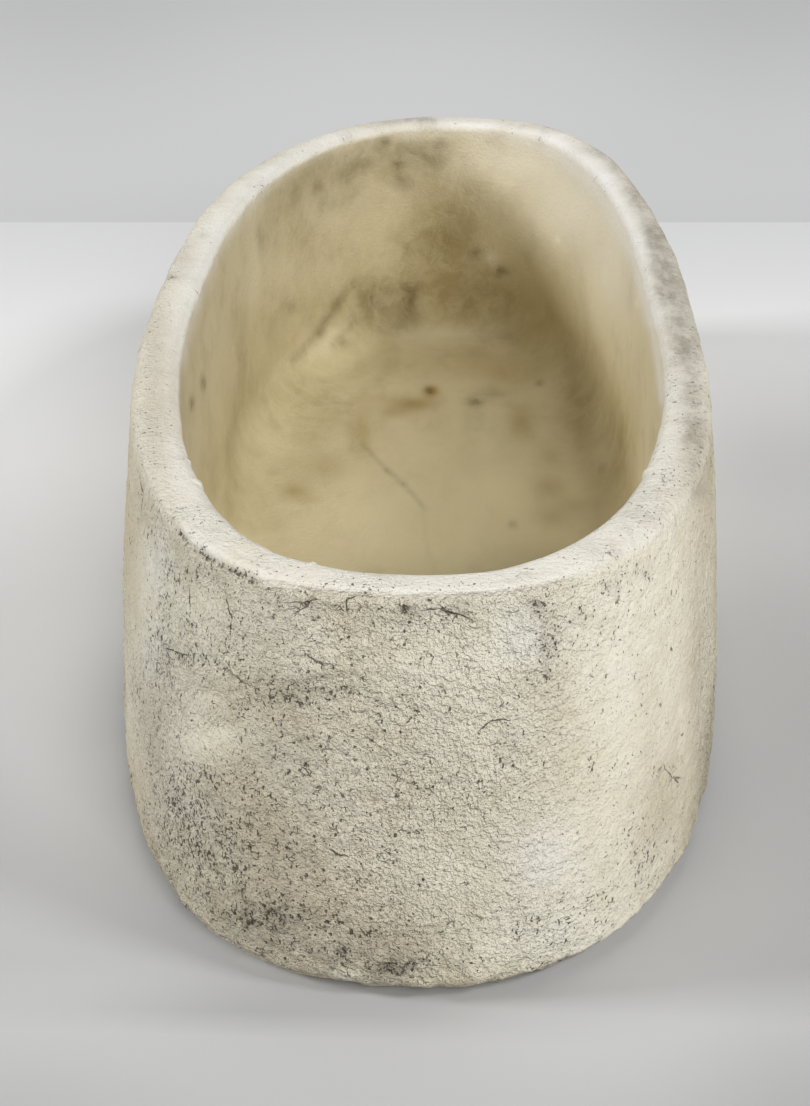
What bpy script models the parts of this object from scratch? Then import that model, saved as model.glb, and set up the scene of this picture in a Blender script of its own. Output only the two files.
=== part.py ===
"""Oval stoneware planter, hand built from five clay members that are luted together.

Frame: metres, +Z up, +Y along the long axis, origin at the centre of the flat foot.
A floor slab carries a flared wall slab, a thin upper course and a crowned rim coil.
A corner coil fills the inside angle between floor and wall.
"""

import math

import bpy
import numpy as np

# Overall size
RIM_LENGTH = 0.610
RIM_WIDTH = 0.240
HEIGHT = 0.148

# Plan of the rim: an oval fuller than an ellipse, a little out of true as hand work is
OVAL_FULLNESS = 2.5
PLAN_SKEW = -0.0015
PLAN_LEAN = -0.0023
PLAN_DENT = -0.0008
PLAN_SQUARENESS = -0.0013

# Outer face: it flares as it goes down and is still opening where the foot begins
SIDE_FLARE = 0.011
END_FLARE = 0.0195
FLARE_TURN_DEPTH = 0.190
FOOT_SETBACK = 0.015
FOOT_RISE = 0.010

# Clay thicknesses
RIM_THICKNESS = 0.018
INNER_TAPER = 0.005
FLOOR_THICKNESS = 0.0235
CORNER_RADIUS = 0.022
CORNER_COIL_EDGE = 0.002

# Rim coil and the joints between courses
CROWN_RISE = 0.006
CROWN_FULLNESS = 3.0
SEAM_DEPTH = 0.028
SEAT_DISH = 0.004
SEAT_FULLNESS = 1.6
COIL_SEAT_DISH = 0.0015
CREASE_CHAMFER = 0.0012
SLIP_GAP = 0.0003

# Counts and angles
SHARP_ANGLE = math.radians(35)
STATIONS = 80
FINE_STEPS = 4000
CROWN_STEPS = 8
SEAT_STEPS = 4
WALL_STEPS = 5
INNER_STEPS = 3
CORNER_STEPS = 5
FOOT_STEPS = 4

# Heights that follow from the sizes above
CREASE_Z = HEIGHT - CROWN_RISE
SEAM_Z = HEIGHT - SEAM_DEPTH

# Colour, roughness
FLOOR_CLAY = ((0.46, 0.40, 0.25), 0.72)
CORNER_CLAY = ((0.44, 0.38, 0.24), 0.74)
WALL_CLAY = ((0.62, 0.58, 0.45), 0.92)
COURSE_CLAY = ((0.65, 0.61, 0.49), 0.92)
RIM_CLAY = ((0.77, 0.74, 0.65), 0.86)


def clear_scene():
    for item in list(bpy.data.objects):
        bpy.data.objects.remove(item, do_unlink=True)


def oval_point(turn):
    """Point on the rim line at an angle parameter, before the hand-made irregularity."""
    power = 2.0 / OVAL_FULLNESS
    x = RIM_WIDTH / 2 * np.sign(np.cos(turn)) * np.abs(np.cos(turn)) ** power
    y = RIM_LENGTH / 2 * np.sign(np.sin(turn)) * np.abs(np.sin(turn)) ** power
    return x, y


def oval_normal(x, y):
    """Outward unit vector of the oval at a point on it."""
    power = OVAL_FULLNESS - 1.0
    nx = np.sign(x) * np.abs(2 * x / RIM_WIDTH) ** power / RIM_WIDTH
    ny = np.sign(y) * np.abs(2 * y / RIM_LENGTH) ** power / RIM_LENGTH
    length = np.hypot(nx, ny)
    return nx / length, ny / length


def hand_error(turn):
    """How far the rim stands outside the true oval, which a few slow waves describe."""
    return (
        PLAN_SKEW * np.sin(2 * turn)
        + PLAN_LEAN * np.cos(3 * turn)
        + PLAN_DENT * np.sin(3 * turn)
        + PLAN_SQUARENESS * np.sin(4 * turn)
    )


def even_turns():
    """Angle parameters whose points lie at even distances round the rim."""
    turn = np.linspace(0.0, 2 * math.pi, FINE_STEPS + 1)
    x, y = oval_point(turn)
    travelled = np.concatenate([[0.0], np.cumsum(np.hypot(np.diff(x), np.diff(y)))])
    wanted = np.arange(STATIONS) / STATIONS * travelled[-1]
    return np.interp(wanted, travelled, turn)


class Plan:
    """The rim line at its stations, with the rule that moves it out or in."""

    def __init__(self):
        turn = even_turns()
        self.x, self.y = oval_point(turn)
        self.nx, self.ny = oval_normal(self.x, self.y)
        self.error = hand_error(turn)
        self.flare = SIDE_FLARE * np.cos(turn) ** 2 + END_FLARE * np.sin(turn) ** 2
        self.middle = (0.0, 0.0)
        widest = self.ring(self.outer(FOOT_RISE), FOOT_RISE)
        self.middle = tuple((widest.max(axis=0) + widest.min(axis=0))[:2] / 2)

    def outer(self, z):
        """Outward distance of the outer face at a height."""
        opened = min((HEIGHT - z) / FLARE_TURN_DEPTH, 1.0)
        return self.flare * (1.0 - (1.0 - opened) ** 2)

    def inner(self, z):
        """Outward distance of the inner face at a height, which is negative."""
        fallen = (CREASE_Z - z) / (CREASE_Z - FLOOR_THICKNESS)
        return np.full(STATIONS, -RIM_THICKNESS - INNER_TAPER * fallen)

    def ring(self, outward, z):
        """Closed ring of points at a height, moved outward along the plan's normals."""
        reach = self.error + outward
        x = self.x + reach * self.nx - self.middle[0]
        y = self.y + reach * self.ny - self.middle[1]
        return np.stack([x, y, np.full(STATIONS, z)], axis=1)

    def across(self, share, z, face_z):
        """Ring at a share of the wall's thickness, measured inward at face_z."""
        outer, inner = self.outer(face_z), self.inner(face_z)
        return self.ring(outer + share * (inner - outer), z)


def seat_rings(plan, seam_z, drop):
    """Rings from the outer to the inner face along a dished joint, drop below it."""
    rings = []
    for step in range(SEAT_STEPS + 1):
        share = step / SEAT_STEPS
        dish = SEAT_DISH * (1.0 - abs(2.0 * share - 1.0) ** SEAT_FULLNESS)
        rings.append(plan.across(share, seam_z - dish - drop, seam_z))
    return rings


def joint_top(plan, seam_z):
    """Top of a member under a joint: a creased outer edge, then the dish."""
    rings = seat_rings(plan, seam_z, SLIP_GAP)
    below = seam_z - SLIP_GAP - CREASE_CHAMFER
    edge = [plan.ring(plan.outer(below), below)]
    share = CREASE_CHAMFER / RIM_THICKNESS
    dish = SEAT_DISH * (1.0 - abs(2.0 * share - 1.0) ** SEAT_FULLNESS)
    edge.append(plan.across(share, seam_z - dish - SLIP_GAP, seam_z))
    return edge + rings[1:]


def outer_rings(plan, low_z, high_z, steps):
    """Rings up the outer face, between two heights and without them."""
    heights = np.linspace(low_z, high_z, steps + 1)[1:-1]
    return [plan.ring(plan.outer(z), z) for z in heights]


def inner_rings(plan, high_z, low_z, steps):
    """Rings down the inner face, between two heights and without them."""
    heights = np.linspace(high_z, low_z, steps + 1)[1:-1]
    return [plan.ring(plan.inner(z), z) for z in heights]


def rim_coil_rings(plan):
    """Crowned top from the outer crease to the inner one, then the bulged underside."""
    rings = []
    for step in range(CROWN_STEPS + 1):
        side = -math.cos(math.pi * step / CROWN_STEPS)
        rise = CROWN_RISE * (1.0 - abs(side) ** CROWN_FULLNESS) ** (1.0 / CROWN_FULLNESS)
        rings.append(plan.across((1.0 + side) / 2, CREASE_Z + rise, CREASE_Z))
    return rings + seat_rings(plan, CREASE_Z, 0.0)[-2:0:-1]


def upper_course_rings(plan):
    """A thin course whose top is dished for the rim coil and whose foot is bulged."""
    return joint_top(plan, CREASE_Z) + seat_rings(plan, SEAM_Z, 0.0)[::-1]


def wall_slab_rings(plan):
    """The tall flared wall, from the seam down to its bulged foot on the floor slab."""
    rings = joint_top(plan, SEAM_Z)
    rings += inner_rings(plan, SEAM_Z, FLOOR_THICKNESS, INNER_STEPS)
    rings += seat_rings(plan, FLOOR_THICKNESS, 0.0)[::-1]
    rings += outer_rings(plan, FLOOR_THICKNESS, SEAM_Z, WALL_STEPS)
    return rings


def coil_seat_rings(plan, margin, drop):
    """Rings inward from the wall along the corner coil's dished seat, a margin wider."""
    near = SLIP_GAP - margin
    far = SLIP_GAP + CORNER_COIL_EDGE + CORNER_RADIUS + margin
    rings = []
    for step in range(SEAT_STEPS + 1):
        share = step / SEAT_STEPS
        inward = near + share * (far - near)
        dish = COIL_SEAT_DISH * (1.0 - abs(2.0 * share - 1.0) ** SEAT_FULLNESS)
        z = FLOOR_THICKNESS - dish - drop
        rings.append(plan.ring(plan.inner(FLOOR_THICKNESS) - inward, z))
    return rings


def corner_coil_rings(plan):
    """A hollow-faced fillet in the angle between the floor and the wall."""
    head_z = FLOOR_THICKNESS + CORNER_COIL_EDGE + CORNER_RADIUS
    rings = [plan.ring(plan.inner(head_z) - SLIP_GAP, head_z)]
    for step in range(CORNER_STEPS + 1):
        bend = math.pi / 2 * step / CORNER_STEPS
        inward = CORNER_COIL_EDGE + CORNER_RADIUS * (1.0 - math.cos(bend))
        z = head_z - CORNER_RADIUS * math.sin(bend)
        rings.append(plan.ring(plan.inner(z) - SLIP_GAP - inward, z))
    return rings + coil_seat_rings(plan, 0.0, 0.0)[::-1]


def floor_slab_rings(plan):
    """The slab from its flat underside, round the undercut foot, to the seats and floor."""
    rings = []
    for step in range(FOOT_STEPS + 1):
        bend = math.pi / 2 * step / FOOT_STEPS
        z = FOOT_RISE * (1.0 - math.cos(bend))
        tucked = FOOT_SETBACK * (1.0 - math.sin(bend))
        rings.append(plan.ring(plan.outer(z) - tucked, z))
    rings += joint_top(plan, FLOOR_THICKNESS)
    return rings + coil_seat_rings(plan, SLIP_GAP, SLIP_GAP)[1:]


def loft(name, rings, clay, capped=False):
    """Skin rings that run inward over the top of a section; cap the ends or close the loop."""
    points = [tuple(point) for ring in rings for point in ring]
    faces = []
    spans = len(rings) - 1 if capped else len(rings)
    for span in range(spans):
        low = span * STATIONS
        high = (span + 1) % len(rings) * STATIONS
        for here in range(STATIONS):
            after = (here + 1) % STATIONS
            faces.append((low + here, low + after, high + after, high + here))
    if capped:
        last = (len(rings) - 1) * STATIONS
        faces.append(tuple(range(STATIONS - 1, -1, -1)))
        faces.append(tuple(range(last, last + STATIONS)))
    mesh = bpy.data.meshes.new(name)
    mesh.from_pydata(points, [], faces)
    mesh.shade_smooth()
    mesh.set_sharp_from_angle(angle=SHARP_ANGLE)
    mesh.materials.append(clay_material(name + "_clay", *clay))
    item = bpy.data.objects.new(name, mesh)
    bpy.context.scene.collection.objects.link(item)
    return item


def clay_material(name, colour, roughness):
    material = bpy.data.materials.new(name)
    material.use_nodes = True
    shader = material.node_tree.nodes["Principled BSDF"]
    shader.inputs["Base Color"].default_value = (*colour, 1.0)
    shader.inputs["Roughness"].default_value = roughness
    shader.inputs["Metallic"].default_value = 0.0
    return material


def build():
    clear_scene()
    plan = Plan()
    loft("floor_slab", floor_slab_rings(plan), FLOOR_CLAY, capped=True)
    loft("wall_slab", wall_slab_rings(plan), WALL_CLAY)
    loft("upper_course", upper_course_rings(plan), COURSE_CLAY)
    loft("rim_coil", rim_coil_rings(plan), RIM_CLAY)
    loft("corner_coil", corner_coil_rings(plan), CORNER_CLAY)


build()
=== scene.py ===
"""Looks of the oval planter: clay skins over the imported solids, marks, lamps, floor and camera.

Metres, +Z up, +Y along the planter; the end that the photograph shows lies at -Y.
One continuous surface is worked out for the whole pot and roughened in the mesh.
It is then cut along the real joints into the clay members, each a closed solid.
"""

import functools
import itertools
import math

import bpy
import numpy as np
from mathutils import Matrix, Vector
from mathutils.geometry import delaunay_2d_cdt

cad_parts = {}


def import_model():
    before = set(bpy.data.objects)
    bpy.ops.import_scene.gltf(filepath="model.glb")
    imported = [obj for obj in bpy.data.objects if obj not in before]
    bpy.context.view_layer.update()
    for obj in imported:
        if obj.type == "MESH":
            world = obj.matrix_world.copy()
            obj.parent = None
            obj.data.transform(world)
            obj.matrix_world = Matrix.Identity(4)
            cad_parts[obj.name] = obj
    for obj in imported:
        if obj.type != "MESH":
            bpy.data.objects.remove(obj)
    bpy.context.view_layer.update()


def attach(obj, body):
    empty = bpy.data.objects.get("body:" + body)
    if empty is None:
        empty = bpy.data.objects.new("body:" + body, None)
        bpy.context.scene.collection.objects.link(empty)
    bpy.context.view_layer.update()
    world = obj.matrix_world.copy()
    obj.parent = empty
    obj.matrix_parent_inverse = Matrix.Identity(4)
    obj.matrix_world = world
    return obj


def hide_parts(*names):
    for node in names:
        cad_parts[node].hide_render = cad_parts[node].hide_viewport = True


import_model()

# The form, as the part's source has it
RIM_LENGTH = 0.610
RIM_WIDTH = 0.240
HEIGHT = 0.148
OVAL_FULLNESS = 2.5
PLAN_SKEW = -0.0015
PLAN_LEAN = -0.0023
PLAN_DENT = -0.0008
PLAN_SQUARENESS = -0.0013
SIDE_FLARE = 0.011
END_FLARE = 0.0195
FLARE_TURN_DEPTH = 0.190
FOOT_SETBACK = 0.015
FOOT_RISE = 0.010
RIM_THICKNESS = 0.018
INNER_TAPER = 0.005
FLOOR_THICKNESS = 0.0235
CORNER_BEND = 0.024
CROWN_RISE = 0.006
CROWN_FULLNESS = 3.0
SEAM_DEPTH = 0.028
SEAT_DISH = 0.004
SEAT_FULLNESS = 1.6
COIL_SEAT_DISH = 0.0015
SLIP_GAP = 0.0003
EDGE_FLAT = 0.012
HIDDEN_DROP = 0.003
HIDDEN_SETBACK = 0.001

CREASE_Z = HEIGHT - CROWN_RISE
SEAM_Z = HEIGHT - SEAM_DEPTH
FLOOR_Z = FLOOR_THICKNESS - SLIP_GAP

# Fineness of the mesh: stations round the two halves, and their relative spacing along the pot
FAR_STATIONS = 470
NEAR_STATIONS = 720
SPACING_AT_Y = (-0.30, -0.20, 0.0, 0.25)
SPACINGS = (0.8, 1.0, 1.35, 1.6)
# Points of the rim line and of each part of the section, before they are thinned out
FINE_STEPS = 20000
DENSE = 200
# Spans across each band of the section, and the row of the mesh where each band begins
BANDS = {
    "under": 3,
    "foot": 34,
    "wall": 98,
    "course": 26,
    "crown": 30,
    "inner_course": 8,
    "inner_wall": 22,
    "corner": 18,
    "floor_edge": 4,
}
BAND_NAMES = list(BANDS)
BORDERS = np.concatenate([[0], np.cumsum(list(BANDS.values()))])
ROW = dict(zip(BAND_NAMES, BORDERS[:-1].tolist()))
LAST_ROW = int(BORDERS[-1])
# Spans across a hidden seat, and the grids that fill the floor and the underside
SEAT_SPANS = 5
FLOOR_GRID = 0.0019
UNDERSIDE_GRID = 0.0045

# The photograph's camera
PHOTO_SIZE = (810, 1106)
FOCAL_PIXELS = 1900.0
CAMERA_SPOT = (0.02807, -0.83220, 0.43156)
CAMERA_HEADING = math.radians(2.672)
CAMERA_PITCH = math.radians(26.95)
SENSOR = 36.0

# Slopes that the noise picks from, and the factor that brings it to about -1 to 1
NOISE_SLOPES = 256
NOISE_GAIN = 1.7


def oval_point(turn):
    """Point on the rim line at an angle parameter."""
    power = 2.0 / OVAL_FULLNESS
    x = RIM_WIDTH / 2 * np.sign(np.cos(turn)) * np.abs(np.cos(turn)) ** power
    y = RIM_LENGTH / 2 * np.sign(np.sin(turn)) * np.abs(np.sin(turn)) ** power
    return x, y


def oval_normal(x, y):
    """Outward unit vector of the oval at a point on it."""
    power = OVAL_FULLNESS - 1.0
    nx = np.sign(x) * np.abs(2 * x / RIM_WIDTH) ** power / RIM_WIDTH
    ny = np.sign(y) * np.abs(2 * y / RIM_LENGTH) ** power / RIM_LENGTH
    length = np.hypot(nx, ny)
    return nx / length, ny / length


def hand_error(turn):
    """How far the rim stands outside the true oval."""
    return (
        PLAN_SKEW * np.sin(2 * turn)
        + PLAN_LEAN * np.cos(3 * turn)
        + PLAN_DENT * np.sin(3 * turn)
        + PLAN_SQUARENESS * np.sin(4 * turn)
    )


def flare_share(z):
    """Share of the full flare that the outer face has reached at a height."""
    return 1.0 - (1.0 - np.minimum((HEIGHT - z) / FLARE_TURN_DEPTH, 1.0)) ** 2


def inner_reach(z):
    """Outward distance of the inner face at a height, which is negative."""
    return -RIM_THICKNESS - INNER_TAPER * (CREASE_Z - z) / (CREASE_Z - FLOOR_THICKNESS)


def station_turns():
    """Angle parameters round the far half and then the near half, closest at the near end."""
    turn = np.linspace(0.0, 2 * math.pi, FINE_STEPS + 1)
    x, y = oval_point(turn)
    wish = np.interp((y[1:] + y[:-1]) / 2, SPACING_AT_Y, SPACINGS)
    count = np.concatenate([[0.0], np.cumsum(np.hypot(np.diff(x), np.diff(y)) / wish)])
    half = FINE_STEPS // 2
    far = np.linspace(count[0], count[half], FAR_STATIONS + 1)[:-1]
    near = np.linspace(count[half], count[-1], NEAR_STATIONS + 1)[:-1]
    return np.interp(np.concatenate([far, near]), count, turn)


def section():
    """The section from the underside to the floor: base distance, share of flare, height.

    It comes with the index where each band begins, apart from the seam and the crease.
    """
    along = np.linspace(0.0, 1.0, DENSE)
    bend = along * math.pi / 2
    runs = []

    def run(base, flare, z):
        runs.append(np.stack(np.broadcast_arrays(base, flare, z)))

    run(-FOOT_SETBACK - EDGE_FLAT * (1 - along), flare_share(0.0), 0.0)
    foot_z = FOOT_RISE * (1.0 - np.cos(bend))
    run(-FOOT_SETBACK * (1.0 - np.sin(bend)), flare_share(foot_z), foot_z)
    low_z = FOOT_RISE + (FLOOR_THICKNESS - FOOT_RISE) * along
    run(0.0, flare_share(low_z), low_z)
    wall_z = FLOOR_THICKNESS + (CREASE_Z - FLOOR_THICKNESS) * along
    run(0.0, flare_share(wall_z), wall_z)
    side = -np.cos(np.linspace(0.0, math.pi, 2 * DENSE))
    rise = CROWN_RISE * (1.0 - np.abs(side) ** CROWN_FULLNESS) ** (1.0 / CROWN_FULLNESS)
    share = (1.0 + side) / 2
    run(-share * RIM_THICKNESS, flare_share(CREASE_Z) * (1.0 - share), CREASE_Z + rise)
    course_z = CREASE_Z + (SEAM_Z - CREASE_Z) * along
    run(inner_reach(course_z), 0.0, course_z)
    head_z = FLOOR_Z + CORNER_BEND
    down_z = SEAM_Z + (head_z - SEAM_Z) * along
    run(inner_reach(down_z), 0.0, down_z)
    corner_z = FLOOR_Z + CORNER_BEND * (1.0 - np.sin(bend))
    run(inner_reach(corner_z) - CORNER_BEND * (1.0 - np.cos(bend)), 0.0, corner_z)
    run(inner_reach(FLOOR_Z) - CORNER_BEND - EDGE_FLAT * along, 0.0, FLOOR_Z)
    starts = np.concatenate([[0], np.cumsum([r.shape[1] for r in runs])])
    corners = dict(
        zip(("under", "foot", "low", "wall", "crown", "inner_course", "inner_wall", "corner",
             "floor_edge", "end"), starts.tolist())
    )
    return np.concatenate(runs, axis=1), corners


class Plan:
    """The rim line at the stations, with the rule that moves it outward."""

    def __init__(self, turn):
        self.turn = turn
        self.x, self.y = oval_point(turn)
        self.nx, self.ny = oval_normal(self.x, self.y)
        self.error = hand_error(turn)
        self.flare = SIDE_FLARE * np.cos(turn) ** 2 + END_FLARE * np.sin(turn) ** 2
        self.middle = np.zeros(2)
        widest = self.place(self.flare * flare_share(FOOT_RISE), FOOT_RISE)
        self.middle = (widest.max(axis=0) + widest.min(axis=0))[:2] / 2

    def place(self, outward, z):
        """Points at an outward distance and height; the last axis of both is the station."""
        reach = self.error + outward
        x = self.x + reach * self.nx - self.middle[0]
        y = self.y + reach * self.ny - self.middle[1]
        return np.stack(np.broadcast_arrays(x, y, z), axis=-1)


class Viewpoint:
    """The photograph's camera, which turns points into pixels of its 810 x 1106 frame."""

    def __init__(self, middle):
        self.spot = np.array(CAMERA_SPOT) - np.array([*middle, 0.0])
        turn, tip = CAMERA_HEADING, CAMERA_PITCH
        self.right = np.array([math.cos(turn), math.sin(turn), 0.0])
        level = np.array([-math.sin(turn), math.cos(turn), 0.0])
        self.forward = level * math.cos(tip) - np.array([0.0, 0.0, math.sin(tip)])
        self.up = np.cross(self.right, self.forward)

    def pixels(self, points):
        away = points - self.spot
        depth = away @ self.forward
        x = PHOTO_SIZE[0] / 2 + FOCAL_PIXELS * (away @ self.right) / depth
        y = PHOTO_SIZE[1] / 2 - FOCAL_PIXELS * (away @ self.up) / depth
        return x, y

    def facing(self, points, normals):
        """Cosine between the surface and the line to the camera."""
        back = self.spot - points
        back = back / np.linalg.norm(back, axis=-1, keepdims=True)
        return np.sum(back * normals, axis=-1)

    def floor_point(self, x, y):
        """Where the ray through a pixel meets the floor that the pot stands on."""
        ray = self.forward * FOCAL_PIXELS + self.right * (x - PHOTO_SIZE[0] / 2)
        ray = ray - self.up * (y - PHOTO_SIZE[1] / 2)
        return self.spot - ray * self.spot[2] / ray[2]

    def camera(self):
        data = bpy.data.cameras.new("camera")
        data.sensor_width = SENSOR
        data.lens = FOCAL_PIXELS * SENSOR / max(PHOTO_SIZE)
        item = placed("camera", data)
        axes = Matrix((self.right, self.up, -self.forward)).transposed()
        item.matrix_world = Matrix.Translation(self.spot) @ axes.to_4x4()
        bpy.context.scene.camera = item


class Noise:
    """Smooth gradient noise in space, about -1 to 1, the same on each run."""

    def __init__(self, seed):
        random = np.random.default_rng(seed)
        self.order = np.tile(random.permutation(NOISE_SLOPES), 3)
        slopes = random.normal(size=(NOISE_SLOPES, 3))
        self.slopes = slopes / np.linalg.norm(slopes, axis=1, keepdims=True)

    def __call__(self, points, scale):
        spot = points * np.asarray(scale, float)
        cell = np.floor(spot).astype(int)
        part = spot - cell
        ease = part**3 * (part * (part * 6 - 15) + 10)
        cell %= NOISE_SLOPES
        total = 0.0
        for corner in itertools.product((0, 1), repeat=3):
            index = self.order[cell[:, 0] + corner[0]] + cell[:, 1] + corner[1]
            index = self.order[index] + cell[:, 2] + corner[2]
            slope = self.slopes[self.order[index]]
            weight = np.prod(np.where(corner, ease, 1 - ease), axis=1)
            total = total + weight * np.sum(slope * (part - corner), axis=1)
        return total * NOISE_GAIN


def smooth(value, low, high):
    """Eased step from 0 at low to 1 at high."""
    share = np.clip((value - low) / (high - low), 0.0, 1.0)
    return share * share * (3 - 2 * share)


def hump(value, middle, half):
    """Bell curve: 1 at the middle, and about a third at a half width from it."""
    return np.exp(-(((value - middle) / half) ** 2))


# Lines and marks seen in the photograph, in its pixels
CREASE_LINE = (
    (166, 519), (180, 534), (196, 549), (227, 566), (244, 574), (265, 583), (330, 592), (400, 597),
    (449, 597), (490, 594), (530, 589), (588, 574), (640, 548), (663, 533), (680, 514),
)
SEAM_LINE = (
    (180, 648), (212, 660), (245, 680), (290, 682), (330, 676), (410, 674), (470, 676),
)

# Each mark: column, row, half width, half height, strength
OUTSIDE_MARKS = {
    "pitted": (
        (215, 574, 30, 9, 0.45), (236, 592, 26, 10, 0.4), (183, 572, 12, 10, 0.4),
        (300, 606, 26, 12, 0.4), (350, 604, 16, 12, 0.35), (407, 610, 9, 12, 0.85),
        (450, 613, 28, 9, 0.65), (200, 626, 24, 16, 0.3), (230, 645, 34, 18, 0.45),
        (183, 656, 26, 12, 0.75), (246, 664, 30, 12, 0.5), (300, 694, 34, 14, 0.95),
        (316, 662, 18, 9, 0.5), (143, 700, 8, 40, 0.6), (170, 680, 10, 22, 0.6),
        (200, 775, 20, 18, 0.75), (203, 830, 36, 40, 0.8), (225, 880, 42, 30, 0.9),
        (270, 915, 46, 26, 0.95), (265, 815, 34, 30, 0.5), (330, 850, 45, 60, 0.35),
        (396, 968, 26, 12, 0.95), (535, 605, 9, 10, 0.8), (350, 945, 50, 24, 0.5),
        (547, 650, 9, 42, 0.7), (505, 755, 14, 26, 0.4), (250, 700, 24, 20, 0.4),
        (290, 760, 34, 24, 0.4), (170, 820, 22, 50, 0.6), (150, 740, 16, 50, 0.5),
        (612, 556, 14, 9, 0.45), (640, 573, 14, 10, 0.4), (610, 587, 14, 12, 0.4),
        (635, 822, 16, 6, 0.5), (560, 970, 22, 12, 0.6), (440, 925, 16, 14, 0.35),
        (500, 700, 16, 12, 0.3), (420, 700, 16, 16, 0.3), (380, 745, 20, 14, 0.35),
        (640, 850, 30, 60, 0.45), (560, 925, 50, 34, 0.55), (215, 800, 40, 60, 0.3),
        (605, 895, 30, 30, 0.3), (600, 765, 30, 20, 0.3), (590, 700, 30, 50, 0.15),
        (640, 690, 20, 40, 0.2), (655, 880, 24, 20, 0.3), (164, 590, 6, 50, 0.6),
        (150, 655, 16, 40, 0.5), (152, 520, 10, 30, 0.45), (450, 800, 40, 30, 0.3),
        (665, 775, 16, 16, 0.3), (300, 692, 24, 9, 0.8), (470, 960, 50, 16, 0.35),
        (620, 660, 30, 20, 0.12), (625, 600, 40, 24, 0.3), (598, 640, 34, 24, 0.25),
        (668, 610, 14, 30, 0.3), (560, 630, 24, 20, 0.3),
    ),
    # Dirt, and painted shade on the lower left, along the bottom and at both edges of the near face:
    "grime_and_shade": (
        (262, 918, 56, 30, 0.6), (205, 850, 34, 40, 0.15), (300, 692, 34, 14, 0.35),
        (210, 800, 20, 16, 0.2), (394, 968, 26, 14, 0.6), (330, 950, 90, 30, 0.4),
        (144, 715, 10, 36, 0.25), (455, 606, 32, 10, 0.2), (407, 610, 10, 12, 0.3),
        (165, 815, 24, 60, 0.15), (536, 606, 8, 10, 0.35), (290, 760, 44, 36, 0.15),
        (547, 660, 7, 36, 0.25), (215, 572, 26, 6, 0.2), (183, 656, 24, 10, 0.2),
        (280, 850, 60, 40, 0.2), (155, 745, 14, 34, 0.15), (660, 830, 30, 60, 0.16),
        (700, 640, 14, 120, 0.3), (610, 880, 50, 40, 0.12), (590, 680, 60, 80, 0.05),
    ),
    "lilac": (
        (508, 758, 12, 18, 0.5), (505, 735, 16, 16, 0.3), (520, 625, 26, 20, 0.15),
        (612, 588, 14, 12, 0.5), (640, 573, 14, 10, 0.5), (575, 620, 20, 16, 0.4),
        (550, 640, 16, 24, 0.3), (600, 618, 16, 10, 0.3), (300, 602, 30, 10, 0.2),
        (612, 556, 12, 8, 0.4), (420, 600, 60, 8, 0.2),
    ),
    # Tan clay, and painted shade along both edges of the near face:
    "warm": (
        (142, 800, 14, 70, 0.5), (560, 713, 26, 34, 0.3), (672, 800, 34, 60, 0.35),
        (700, 690, 16, 130, 0.8), (400, 760, 120, 140, 0.3), (350, 900, 100, 70, 0.3),
    ),
    # Chalky clay, and painted light on the near face's bright right side and its left edge:
    "pale": (
        (602, 700, 44, 130, 0.75), (620, 780, 30, 60, 0.3), (560, 880, 60, 80, 0.9),
        (500, 940, 50, 40, 1.0), (345, 977, 18, 7, 0.9), (205, 737, 34, 24, 0.6),
        (190, 600, 44, 36, 1.0), (500, 640, 60, 60, 1.0), (450, 860, 60, 70, 0.9),
        (450, 680, 60, 50, 0.8), (340, 640, 60, 40, 0.5), (620, 600, 60, 40, 0.6),
        (210, 662, 30, 18, 0.7), (150, 640, 20, 60, 0.7), (560, 940, 60, 30, 0.8),
        (222, 872, 26, 22, 0.4), (500, 750, 60, 60, 1.0), (152, 570, 24, 50, 1.0),
        (360, 750, 60, 40, 0.3), (220, 640, 40, 30, 0.3), (440, 760, 30, 40, 0.4),
        (160, 800, 24, 60, 0.3),
    ),
    # Painted light: near white on the right side and the left edge of the near face:
    "halo": (
        (625, 700, 40, 150, 0.15), (545, 860, 40, 50, 0.5), (520, 640, 24, 30, 0.5),
        (152, 562, 16, 34, 0.45), (150, 650, 14, 36, 0.3), (560, 940, 50, 24, 0.3),
    ),
}

LIP_MARKS = {
    "pitted": (
        (612, 553, 14, 7, 0.5), (645, 520, 22, 18, 0.3), (668, 470, 16, 26, 0.3),
        (700, 420, 10, 90, 0.7), (470, 584, 24, 4, 0.4), (535, 586, 26, 4, 0.35),
        (185, 522, 20, 16, 0.3), (255, 573, 30, 5, 0.35), (330, 586, 40, 4, 0.4),
        (150, 335, 10, 60, 0.45), (146, 430, 10, 40, 0.4), (420, 588, 60, 4, 0.2),
        (170, 300, 10, 20, 0.3), (675, 380, 14, 30, 0.3),
    ),
    "grime_and_shade": (
        (692, 465, 20, 36, 0.25), (158, 370, 14, 100, 0.22), (172, 276, 6, 3, 0.9),
        (185, 262, 14, 24, 0.22), (205, 235, 10, 4, 0.3), (262, 160, 20, 10, 0.35),
        (395, 120, 70, 8, 0.5), (520, 128, 30, 5, 0.35), (657, 500, 26, 30, 0.14),
        (600, 547, 34, 10, 0.14),
    ),
    "lilac": (
        (640, 520, 30, 26, 0.4), (612, 554, 18, 8, 0.6), (694, 400, 10, 60, 0.5),
        (530, 574, 40, 6, 0.4),
    ),
    "warm": (
        (314, 563, 5, 3, 1.0), (156, 400, 20, 110, 0.7), (190, 512, 26, 20, 0.15),
        (300, 574, 70, 12, 0.2), (690, 450, 16, 60, 0.3),
    ),
}

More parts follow.
